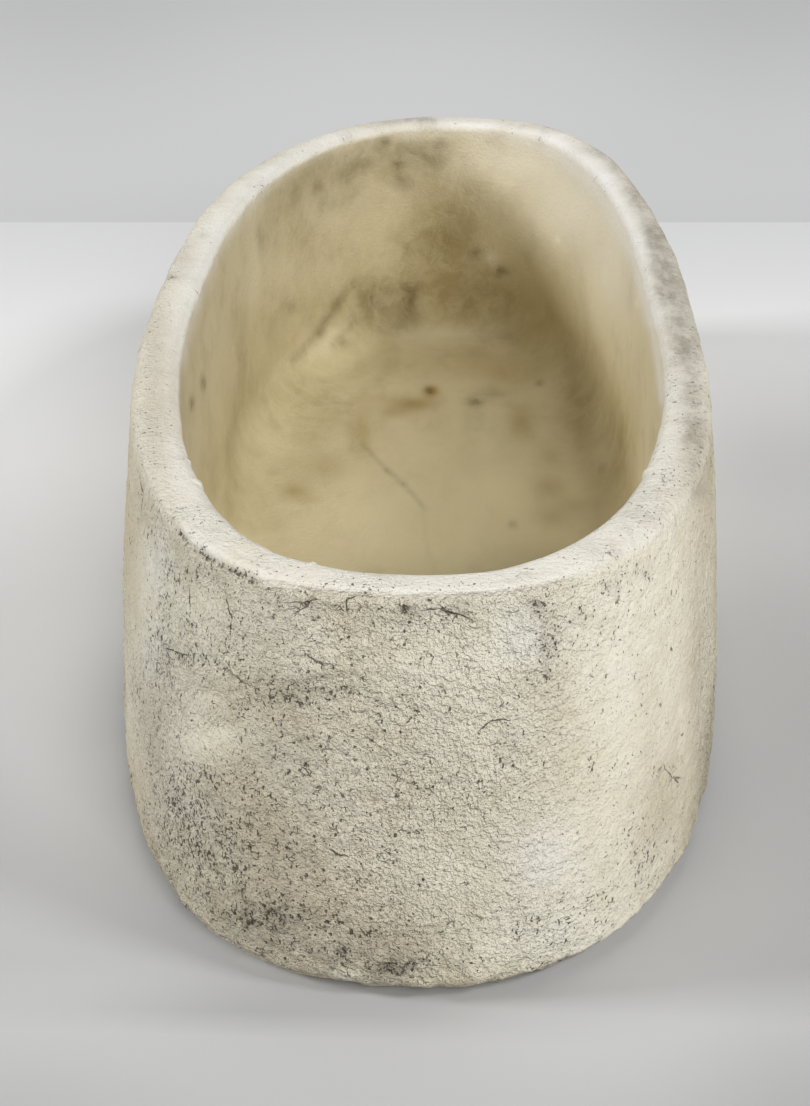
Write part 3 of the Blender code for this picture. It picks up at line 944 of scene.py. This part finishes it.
class Member:
    """One clay member: visible rows of the skin and hidden seat faces that close it."""

    def __init__(self, skin, stations=None):
        self.skin = skin
        self.closed = stations is None
        self.stations = np.arange(skin.stations) if self.closed else stations
        self.points, self.sources, self.faces = [], [], []
        self.count = 0

    def add(self, points, source):
        """Adds points, with the skin points that they take their layers from."""
        start = self.count
        self.points.append(points)
        self.sources.append(source)
        self.count += len(points)
        return np.arange(start, self.count)

    def row(self, row):
        """Skin points of one row over this member's stations."""
        return row * self.skin.stations + self.stations

    def rows(self, first, last):
        """Adds the skin's rows first to last, one ring for each."""
        rows = [self.row(row) for row in range(first, last + 1)]
        return [self.add(self.skin.points[row], row) for row in rows]

    def seat(self, start, end, sources, dish, lift=0.0, last=0):
        """Hidden rings from one to another, dished and lowered; last=1 adds the end as well."""
        rings = []
        for step in range(1, SEAT_SPANS + last):
            share = step / SEAT_SPANS
            ring = start + share * (end - start)
            hollow = dish * (1.0 - abs(2.0 * share - 1.0) ** SEAT_FULLNESS)
            ring[:, 2] -= hollow + lift * (share < 1)
            rings.append(self.add(ring, sources[0] if share < 0.5 else sources[-1]))
        return rings

    def joint(self, outer, inner, dish, lift=0.0):
        """The seat between an outer and an inner row of the skin."""
        rows = self.row(outer), self.row(inner)
        return self.seat(self.skin.points[rows[0]], self.skin.points[rows[1]], rows, dish, lift)

    def loft(self, rings, loop=True):
        """Faces between rings of indices that run up the outside and down the inside."""
        for low, high in zip(rings, rings[1:] + rings[:1] if loop else rings[1:]):
            if self.closed:
                low, high = np.append(low, low[0]), np.append(high, high[0])
            self.faces.append(np.stack([low[:-1], low[1:], high[1:], high[:-1]], axis=1))

    def build(self, name, slot, nodes):
        """Makes the mesh, and says which nodes of the solids it replaces."""
        points = np.concatenate(self.points)
        source = np.concatenate(self.sources)
        faces = [tuple(face) for block in self.faces for face in np.asarray(block).tolist()]
        mesh = bpy.data.meshes.new(name)
        mesh.from_pydata(points.tolist(), [], faces)
        mesh.shade_smooth()
        for layer, values in self.skin.layers.items():
            add_layer(mesh, layer, values[source])
        mesh.normals_split_custom_set_from_vertices(self.skin.normals[source].tolist())
        mesh.materials.append(clay(slot))
        item = placed(name, mesh)
        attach(item, "root")
        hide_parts(*nodes)


def srgb(*levels):
    """Linear colour from 0 to 255 levels."""
    values = [level / 255 for level in levels]
    return tuple(v / 12.92 if v <= 0.04045 else ((v + 0.055) / 1.055) ** 2.4 for v in values)


CREAM = srgb(243, 236, 216)
STRAW = srgb(222, 211, 183)
# Chalky white, also used for painted light
CHALK_AND_LIGHT = srgb(252, 247, 226)
TAN = srgb(212, 195, 166)
# Grey of dirt, and of painted shade
GREY_DIRT_AND_SHADE = srgb(136, 126, 110)
LILAC = srgb(172, 161, 150)
PIT = srgb(62, 52, 38)
LIP = srgb(243, 239, 226)
INNER_LOW = srgb(208, 195, 157)
INNER_HIGH = srgb(216, 205, 174)
INNER_DARK = srgb(145, 127, 79)
RUST = srgb(148, 114, 38)
SMUDGE = srgb(94, 81, 48)
INNER_PALE = srgb(244, 230, 188)
# Near white of the painted highlight
HALO = srgb(250, 248, 242)

# Pits of several sizes: noise scale, upright stretch, level without and gain with pitting,
# softness and darkness
PIT_SIZES = (
    (280.0, 1.3, 0.79, 0.13, 0.07, 0.80),
    (480.0, 0.7, 0.76, 0.19, 0.07, 0.95),
    (760.0, 0.8, 0.74, 0.20, 0.08, 0.95),
    (1150.0, 0.8, 0.73, 0.17, 0.12, 0.65),
)

# Soft patches of noise: scale, detail, roughness, distortion and stretch of the noise, and the
# levels at which a patch begins and is full
EVEN = (1.0, 1.0, 1.0)
PATCHES = {
    "tone": (13.0, 4.0, 0.55, 0.0, EVEN, 0.36, 0.66),
    "mottle": (105.0, 3.0, 0.65, 0.0, EVEN, 0.44, 0.68),
    "cloud": (230.0, 3.0, 0.6, 0.0, EVEN, 0.30, 0.62),
    "chalk": (70.0, 4.0, 0.6, 0.0, EVEN, 0.45, 0.75),
    "streaks": (190.0, 3.0, 0.65, 0.0, (1.0, 0.4, 1.0), 0.36, 0.64),
    "cluster": (75.0, 3.0, 0.6, 0.0, EVEN, 0.34, 0.62),
    "broken": (330.0, 1.0, 0.5, 0.0, EVEN, 0.25, 0.60),
    "smears": (26.0, 5.0, 0.55, 0.4, (1.0, 0.45, 0.7), 0.42, 0.72),
    "stains": (60.0, 4.0, 0.6, 0.3, (1.0, 0.5, 0.8), 0.48, 0.75),
    "torn": (90.0, 4.0, 0.65, 0.5, EVEN, 0.35, 0.65),
}

# Bump of the clay: its depth, and how much lumps, grains and dust add to it
BUMP_DEPTH = 0.0018
LUMP_SHARE = 1.8
GRAIN_SHARE = 1.7
DUST_SHARE = 0.9
PIT_SHARE = 0.30


class Nodes:
    """Builds a material's nodes with short calls.

    A value may be a number, a socket, or the name of one of the layers painted on the skin.
    """

    def __init__(self, name):
        self.material = bpy.data.materials.new(name)
        self.material.use_nodes = True
        self.tree = self.material.node_tree
        self.shader = self.tree.nodes["Principled BSDF"]
        self.place = self.tree.nodes.new("ShaderNodeTexCoord").outputs["Object"]

    def node(self, kind, **settings):
        """A node of a kind, with some of its inputs set; an underscore stands for a space."""
        node = self.tree.nodes.new("ShaderNode" + kind)
        for name, value in settings.items():
            self.join(value, node.inputs[name.replace("_", " ")])
        return node

    def join(self, value, socket):
        if isinstance(value, str):
            node = self.tree.nodes.new("ShaderNodeAttribute")
            node.attribute_name = value
            value = node.outputs["Fac"]
        if isinstance(value, bpy.types.NodeSocket):
            self.tree.links.new(value, socket)
        elif socket.type == "RGBA":
            socket.default_value = (*value, 1.0)
        else:
            socket.default_value = value

    def math(self, operation, *values, kind="Math"):
        node = self.node(kind)
        node.operation = operation
        for value, socket in zip(values, node.inputs):
            self.join(value, socket)
        scalar = kind == "Math" or operation == "DOT_PRODUCT"
        return node.outputs["Value" if scalar else "Vector"]

    def times(self, *values):
        return functools.reduce(lambda total, value: self.math("MULTIPLY", total, value), values)

    def plus(self, *values):
        return functools.reduce(lambda total, value: self.math("ADD", total, value), values)

    def minus(self, value, taken):
        return self.math("SUBTRACT", value, taken)

    def line(self, start, gain, value):
        """A value turned into start + gain * value."""
        return self.plus(start, self.times(gain, value))

    def stretched(self, *scale):
        return self.math("MULTIPLY", self.place, scale, kind="VectorMath")

    def noise(self, scale, detail=2.0, roughness=0.5, warp=0.0, stretch=EVEN):
        place = self.place if stretch == EVEN else self.stretched(*stretch)
        return self.node(
            "TexNoise", Vector=place, Scale=scale, Detail=detail, Roughness=roughness, Distortion=warp
        ).outputs[0]

    def patch(self, name):
        *noise, low, high = PATCHES[name]
        return self.ease(self.noise(*noise), low, high)

    def warped(self, scale, amount, place):
        """The place shifted about by noise."""
        noise = self.node("TexNoise", Vector=place, Scale=scale, Detail=1.0)
        shift = (amount, amount, amount)
        return self.math("MULTIPLY_ADD", noise.outputs["Color"], shift, place, kind="VectorMath")

    def grain_edge(self, scale, place):
        """Distance to the border between neighbouring grains, in grain sizes."""
        node = self.node("TexVoronoi")
        node.feature = "DISTANCE_TO_EDGE"
        self.join(place, node.inputs["Vector"])
        self.join(scale, node.inputs["Scale"])
        return node.outputs["Distance"]

    def ease(self, value, low, high):
        node = self.node("MapRange", Value=value, From_Min=low, From_Max=high)
        node.interpolation_type = "SMOOTHSTEP"
        return node.outputs[0]

    def over(self, value, level, width):
        """Eased step over a level that may itself vary."""
        return self.ease(value, level, self.plus(level, width))

    def blend(self, factor, first, second):
        node = self.node("Mix")
        node.data_type = "RGBA"
        self.join(factor, node.inputs[0])
        self.join(first, node.inputs[6])
        self.join(second, node.inputs[7])
        return node.outputs[2]

    def tint(self, colour, tone, *strengths):
        """The colour with a tone laid over it, as strongly as the product of some values."""
        return self.blend(self.times(*strengths), colour, tone)


def pits(make):
    """Dark pinholes, stipple and short tears, dense where the pitted layer says."""
    density = make.times("pitted", make.line(0.65, 0.35, make.patch("cluster")))
    clear = 1.0
    for scale, upright, level, gain, width, strength in PIT_SIZES:
        start = make.minus(level, make.times(gain, density))
        spots = make.over(make.noise(scale, 1.5, 0.55, 0.0, (1.0, 1.0, upright)), start, width)
        clear = make.times(make.minus(1.0, make.times(spots, strength)), clear)
    edges = make.grain_edge(330.0, make.warped(520.0, 0.0011, make.stretched(1.0, 1.0, 1.15)))
    line = make.ease(make.minus(0.075, edges), 0.0, 0.06)
    level = make.minus(0.69, make.times(0.19, density))
    torn = make.times(line, make.over(make.noise(230.0, 2.0, 0.6), level, 0.06), 0.92)
    return make.minus(1.0, make.times(make.minus(1.0, torn), clear))


def ragged(make, value):
    """A soft mark with its edge broken up by fine noise."""
    rough = make.times(make.minus(make.noise(620.0, 2.0, 0.6), 0.5), 1.8)
    broken = make.ease(make.plus(value, rough), 0.35, 0.75)
    return make.times(broken, make.ease(value, 0.05, 0.35))


def crack_line(make):
    """Thin dark line where the signed distance to a crack is small."""
    wobble = make.times(make.minus(make.noise(420.0, 3.0, 0.65), 0.5), 0.0022)
    off = make.math("ABSOLUTE", make.plus("crack", wobble))
    thin = make.times("crack_half", make.patch("broken"))
    return make.ease(make.minus(thin, off), -0.00030, 0.00015)


def outside_colour(make):
    """Cream clay with tan and chalky patches, lilac tinges and grey dirt; some pale patches are
    painted light, and some grey is painted shade.
    """
    cloud = make.patch("cloud")
    colour = make.tint(CREAM, STRAW, make.patch("tone"))
    # Tan, partly painted shade at the near face's edges
    colour = make.tint(colour, TAN, "warm", 0.75)
    # Chalky patches, partly painted light
    colour = make.tint(colour, CHALK_AND_LIGHT, "pale", 0.8)
    colour = make.tint(colour, STRAW, make.patch("mottle"), 0.38)
    colour = make.tint(colour, LILAC, "lilac", cloud, 0.7)
    # Grey: dirt, and painted shade on the near face
    return make.tint(colour, GREY_DIRT_AND_SHADE, "grime_and_shade", make.line(0.35, 0.65, cloud))


def lip_colour(make):
    """Chalky clay with a little straw and tan, and streaks of dust across the lip."""
    streaks = make.patch("streaks")
    colour = make.tint(LIP, STRAW, make.patch("chalk"), 0.35)
    colour = make.tint(colour, TAN, "warm", 0.5)
    colour = make.tint(colour, LILAC, "lilac", streaks, 0.5)
    return make.tint(colour, GREY_DIRT_AND_SHADE, "grime_and_shade", make.line(0.55, 0.35, streaks))


def inside_colour(make):
    """Tan stained clay, paler upward as painted light and shade, with smears, soot and rust; dark
    patches of damp and painted shade, and painted light on the lit floor and upper right wall.
    """
    height = make.node("SeparateXYZ", Vector=make.place)
    wave = make.times(make.minus(make.noise(16.0, 3.0), 0.5), 0.10)
    raised = make.ease(make.plus(height.outputs["Z"], wave), 0.03, 0.15)
    torn = make.line(0.6, 0.4, make.patch("torn"))
    # Paler upward: painted light on the upper walls, and painted shade low in the hollow
    colour = make.tint(INNER_LOW, INNER_HIGH, raised)
    colour = make.tint(colour, INNER_DARK, make.patch("smears"), 0.30)
    colour = make.tint(colour, SMUDGE, make.patch("stains"), 0.16)
    # Pale clay and chips, and painted light on the lit upper right wall
    colour = make.tint(colour, CHALK_AND_LIGHT, "pale", 0.75)
    # Painted light on the lit floor near the front
    colour = make.tint(colour, INNER_PALE, "warm", 0.75)
    # Dark patches: painted shade, and damp
    colour = make.tint(colour, INNER_DARK, "dark_shade_and_damp", torn, 0.85)
    colour = make.tint(colour, RUST, "rust", 0.9)
    return make.tint(colour, SMUDGE, "soot", torn, 0.9)


def clay(slot):
    """The pot's clay: gritty and pitted outside, chalky on the lip, wiped and stained inside."""
    name = slot + "_look"
    if name in bpy.data.materials:
        return bpy.data.materials[name]
    make = Nodes(name)
    open_face = make.minus(1.0, "inside")
    crack = make.times(crack_line(make), make.line(0.40, 0.60, open_face))
    # The cavity layer is painted shade in the hollows of pits, chips and the crease
    dark = make.math("MAXIMUM", make.times(pits(make), open_face), ragged(make, "cavity"))
    dark = make.math("MAXIMUM", dark, crack)
    lumps = make.noise(180.0, 3.0, 0.6, 0.0, (1.0, 1.0, 1.6))
    grains = make.noise(540.0, 2.0, 0.6)
    dust = make.noise(1150.0, 1.0)
    low_ground = make.minus(1.0, make.ease(grains, 0.34, 0.56))

    colour = make.tint(outside_colour(make), lip_colour(make), "lip")
    colour = make.tint(colour, inside_colour(make), "inside")
    # Painted highlight: near white where the lip rolls over, and on bright places
    colour = make.tint(colour, HALO, "halo")
    # Painted shade in the low ground between grains
    colour = make.tint(colour, GREY_DIRT_AND_SHADE, "grit", low_ground, 0.10)
    make.join(make.tint(colour, PIT, dark, 0.88), make.shader.inputs["Base Color"])
    rough = make.minus(make.minus(0.93, make.times(0.10, "lip")), make.times(0.20, "inside"))
    make.join(rough, make.shader.inputs["Roughness"])
    make.shader.inputs["Specular IOR Level"].default_value = 0.3

    body = make.plus(
        make.times(lumps, LUMP_SHARE), make.times(grains, GRAIN_SHARE), make.times(dust, DUST_SHARE)
    )
    height = make.times(body, make.line(0.10, 0.90, "grit"))
    height = make.minus(height, make.times(dark, PIT_SHARE))
    bump = make.node("Bump", Strength=1.0, Distance=BUMP_DEPTH, Height=height)
    make.join(bump.outputs[0], make.shader.inputs["Normal"])
    return make.material


def hidden_foot(skin):
    """Foot of the wall's inner face, behind the corner coil."""
    return skin.plan.place(np.full(skin.stations, inner_reach(FLOOR_THICKNESS)), FLOOR_THICKNESS)


def hidden_back(skin, gap):
    """A ring just under the coil's head, set back behind the visible faces."""
    z = FLOOR_Z + CORNER_BEND - HIDDEN_DROP
    return skin.plan.place(np.full(skin.stations, inner_reach(z) + HIDDEN_SETBACK - gap), z)


def wall_half(skin, name, stations):
    """The near or far half of the wall slab, cut where the pot is widest."""
    member = Member(skin, stations)
    edge, seam, inner_seam, head = (ROW[band] for band in ("wall", "course", "inner_wall", "corner"))
    foot = hidden_foot(skin)[stations]
    outer_foot = skin.points[member.row(edge)]
    rings = [
        *member.rows(edge, seam),
        *member.joint(seam, inner_seam, SEAT_DISH, SLIP_GAP),
        *member.rows(inner_seam, head),
        member.add(hidden_back(skin, 0.0)[stations], member.row(head)),
        member.add(foot, member.row(head)),
        *member.seat(outer_foot, foot, [member.row(edge)], SEAT_DISH)[::-1],
    ]
    member.loft(rings)
    member.faces.append([[ring[0] for ring in rings]])
    member.faces.append([[ring[-1] for ring in rings[::-1]]])
    member.build(name, "wall_clay", ["wall_slab"])


def upper_course(skin):
    """The course between the seam and the crease."""
    member = Member(skin)
    foot, top, inner_top, inner_foot = (
        ROW[band] for band in ("course", "crown", "inner_course", "inner_wall")
    )
    member.loft([
        *member.rows(foot, top),
        *member.joint(top, inner_top, SEAT_DISH, SLIP_GAP),
        *member.rows(inner_top, inner_foot),
        *member.joint(foot, inner_foot, SEAT_DISH)[::-1],
    ])
    member.build("upper_course_skin", "course_clay", ["upper_course"])


def rim_coil(skin):
    """The crowned coil that ends the wall."""
    member = Member(skin)
    outer, inner = ROW["crown"], ROW["inner_course"]
    member.loft([*member.rows(outer, inner), *member.joint(outer, inner, SEAT_DISH)[::-1]])
    member.build("rim_coil_skin", "rim_clay", ["rim_coil"])


def corner_coil(skin):
    """The fillet inside: its hollow face, its underside and its back against the wall."""
    member = Member(skin)
    head, toe = ROW["corner"], ROW["floor_edge"]
    back = skin.plan.place(inner_reach(FLOOR_THICKNESS) - SLIP_GAP, FLOOR_THICKNESS)
    member.loft([
        *member.rows(head, toe),
        *member.seat(skin.points[member.row(toe)], back, [member.row(toe)], COIL_SEAT_DISH, last=1),
        member.add(hidden_back(skin, SLIP_GAP), member.row(head)),
    ])
    member.build("corner_coil_skin", "corner_clay", ["corner_coil"])


def floor_slab(skin):
    """The slab: underside, undercut foot and outer edge, hidden seats, then the floor."""
    member = Member(skin)
    edge, toe = member.row(ROW["wall"]), member.row(ROW["floor_edge"])
    foot = hidden_foot(skin)
    foot[:, 2] -= SLIP_GAP
    outer = member.rows(0, ROW["wall"])
    seats = [
        *member.seat(skin.points[edge], foot, [edge], SEAT_DISH, SLIP_GAP, last=1),
        *member.seat(foot, skin.points[toe], [toe], COIL_SEAT_DISH, SLIP_GAP),
    ]
    floor = member.rows(ROW["floor_edge"], LAST_ROW)
    member.loft([*outer, *seats, *floor], loop=False)
    top = np.concatenate([floor[-1], member.add(skin.points[skin.top], skin.top)])
    under = np.concatenate([outer[0], member.add(skin.points[skin.under], skin.under)])
    member.faces += [top[skin.top_faces], under[skin.under_faces[:, ::-1]]]
    member.build("floor_slab_skin", "floor_clay", ["floor_slab"])


def pot(skin):
    """The five clay members; the wall's mesh comes in two halves."""
    near = np.arange(FAR_STATIONS, FAR_STATIONS + NEAR_STATIONS + 1) % skin.stations
    wall_half(skin, "wall_slab_near", near)
    wall_half(skin, "wall_slab_far", np.arange(FAR_STATIONS + 1))
    upper_course(skin)
    rim_coil(skin)
    corner_coil(skin)
    floor_slab(skin)


# Light: where each lamp stands as azimuth from +X towards +Y and elevation, then size and watts
LAMPS = (
    ("left_lamp", 187.0, 27.0, 0.8, 76.0),
    ("right_lamp", 338.0, 41.0, 0.8, 48.0),
    ("front_lamp", 290.0, 33.0, 2.0, 76.0),
    ("top_lamp", 80.0, 78.0, 1.5, 26.0),
)
LAMP_DISTANCE = 4.0
LAMP_AIM = (0.0, 0.0, 0.06)
FILL_STRENGTH = 0.10
BACKGROUND = srgb(205, 205, 206)
FLOOR_TINT = (0.995, 0.998, 1.0)

# The pale floor ends at a line across the picture, and a greyer ground lies behind it.
# Their tones go by picture row, with soft darker and lighter patches laid over them:
# column, row, half width, half height, change. The floor's tones by row, darker towards the front,
# and the
# patches paint shade and light: shade beside the pot, the shadow under its front edge, lighter
# patches and darker corners.
HORIZON_LINE = 222
FLOOR_ROWS = (222, 300, 360, 460, 600, 740, 860, 960, 1030, 1106)
FLOOR_TONES = (0.84, 0.88, 0.89, 0.84, 0.71, 0.63, 0.565, 0.55, 0.585, 0.54)
GROUND_ROWS = (0, 80, 160, 222)
GROUND_TONES = (0.87, 0.86, 0.80, 0.73)
FLOOR_LIGHT_AND_SHADE = (
    (40, 460, 180, 130, 0.17), (790, 670, 170, 190, -0.20), (780, 460, 110, 50, -0.12),
    (40, 680, 110, 150, 0.12), (760, 340, 120, 40, 0.06),
    (300, 1004, 180, 18, -0.24), (420, 1022, 60, 14, -0.05), (600, 1010, 90, 14, -0.08),
    (820, 1106, 130, 100, -0.15), (0, 1110, 130, 50, -0.04),
    (40, 950, 130, 28, -0.04), (60, 30, 190, 110, -0.10), (760, 30, 170, 110, -0.10),
    (790, 960, 160, 70, -0.02),
)
FLOOR_DROP = 0.0002
FLOOR_EDGES = (-4.0, -0.7, 0.7, 4.0)
FLOOR_COLUMNS = (16, 110, 16)
# Floor points nearer than this in front of the camera, or behind it, aren't in the picture
NEAREST = 0.2


def lamps():
    for name, azimuth, elevation, size, watts in LAMPS:
        a, e = math.radians(azimuth), math.radians(elevation)
        away = Vector((math.cos(a) * math.cos(e), math.sin(a) * math.cos(e), math.sin(e)))
        data = bpy.data.lights.new(name, "AREA")
        data.size = size
        data.energy = watts
        item = placed(name, data)
        item.location = Vector(LAMP_AIM) + away * LAMP_DISTANCE
        item.rotation_euler = away.to_track_quat("Z", "Y").to_euler()


def world():
    """Even fill light; the camera sees a plain pale grey where the floor ends."""
    made = bpy.data.worlds.new("world")
    bpy.context.scene.world = made
    made.use_nodes = True
    tree = made.node_tree
    fill = tree.nodes["Background"]
    fill.inputs["Color"].default_value = (1.0, 1.0, 1.0, 1.0)
    fill.inputs["Strength"].default_value = FILL_STRENGTH
    seen = tree.nodes.new("ShaderNodeBackground")
    seen.inputs["Color"].default_value = (*BACKGROUND, 1.0)
    path = tree.nodes.new("ShaderNodeLightPath")
    mix = tree.nodes.new("ShaderNodeMixShader")
    tree.links.new(path.outputs["Is Camera Ray"], mix.inputs[0])
    tree.links.new(fill.outputs[0], mix.inputs[1])
    tree.links.new(seen.outputs[0], mix.inputs[2])
    tree.links.new(mix.outputs[0], tree.nodes["World Output"].inputs["Surface"])


def stage_floor(view):
    """A pale floor with painted shade and light, and a greyer ground behind a straight line that lies
    level in the picture.
    """
    start = view.floor_point(0, HORIZON_LINE)
    end = view.floor_point(PHOTO_SIZE[0], HORIZON_LINE)
    along = (end - start) / np.linalg.norm(end - start)
    back = np.array([-along[1], along[0], 0.0])
    runs = [
        np.linspace(low, high, count, endpoint=False)
        for low, high, count in zip(FLOOR_EDGES, FLOOR_EDGES[1:], FLOOR_COLUMNS)
    ]
    line = np.concatenate([*runs, FLOOR_EDGES[-1:]])
    x, y = np.meshgrid(line, line)
    points = np.stack([x.ravel(), y.ravel(), np.full(x.size, -FLOOR_DROP)], axis=1)
    side = len(line)
    corner = (np.arange(side - 1)[:, None] * side + np.arange(side - 1)).ravel()
    faces = np.stack([corner, corner + 1, corner + side + 1, corner + side], axis=1)
    mesh = bpy.data.meshes.new("floor")
    mesh.from_pydata(points.tolist(), [], faces.tolist())

    ahead = (points - view.spot) @ view.forward > NEAREST
    column, row = view.pixels(points)
    column, row = np.where(ahead, column, 0.0), np.where(ahead, row, PHOTO_SIZE[1])
    patches = np.ones(len(points))
    for centre, level, wide, high, change in FLOOR_LIGHT_AND_SHADE:
        patches += change * np.exp(-((column - centre) / wide) ** 2 - ((row - level) / high) ** 2)
    # Floor tones with their painted shade and light
    add_layer(mesh, "near", np.interp(row, FLOOR_ROWS, FLOOR_TONES) * patches)
    add_layer(mesh, "beyond", np.interp(row, GROUND_ROWS, GROUND_TONES) * patches)

    make = Nodes("floor")
    offset = make.math("DOT_PRODUCT", make.place, tuple(back), kind="VectorMath")
    beyond = make.math("GREATER_THAN", offset, float(start @ back))
    tone = make.plus(make.times(make.minus(1.0, beyond), "near"), make.times(beyond, "beyond"))
    make.join(make.tint((0.0, 0.0, 0.0), FLOOR_TINT, tone), make.shader.inputs["Base Color"])
    make.shader.inputs["Roughness"].default_value = 0.9
    make.shader.inputs["Specular IOR Level"].default_value = 0.1
    mesh.materials.append(make.material)
    floor = placed("floor", mesh)


skin = Skin()
skin.paint()
skin.shape()
pot(skin)
skin.view.camera()
stage_floor(skin.view)
lamps()
world()
bpy.context.scene.view_settings.view_transform = "Standard"
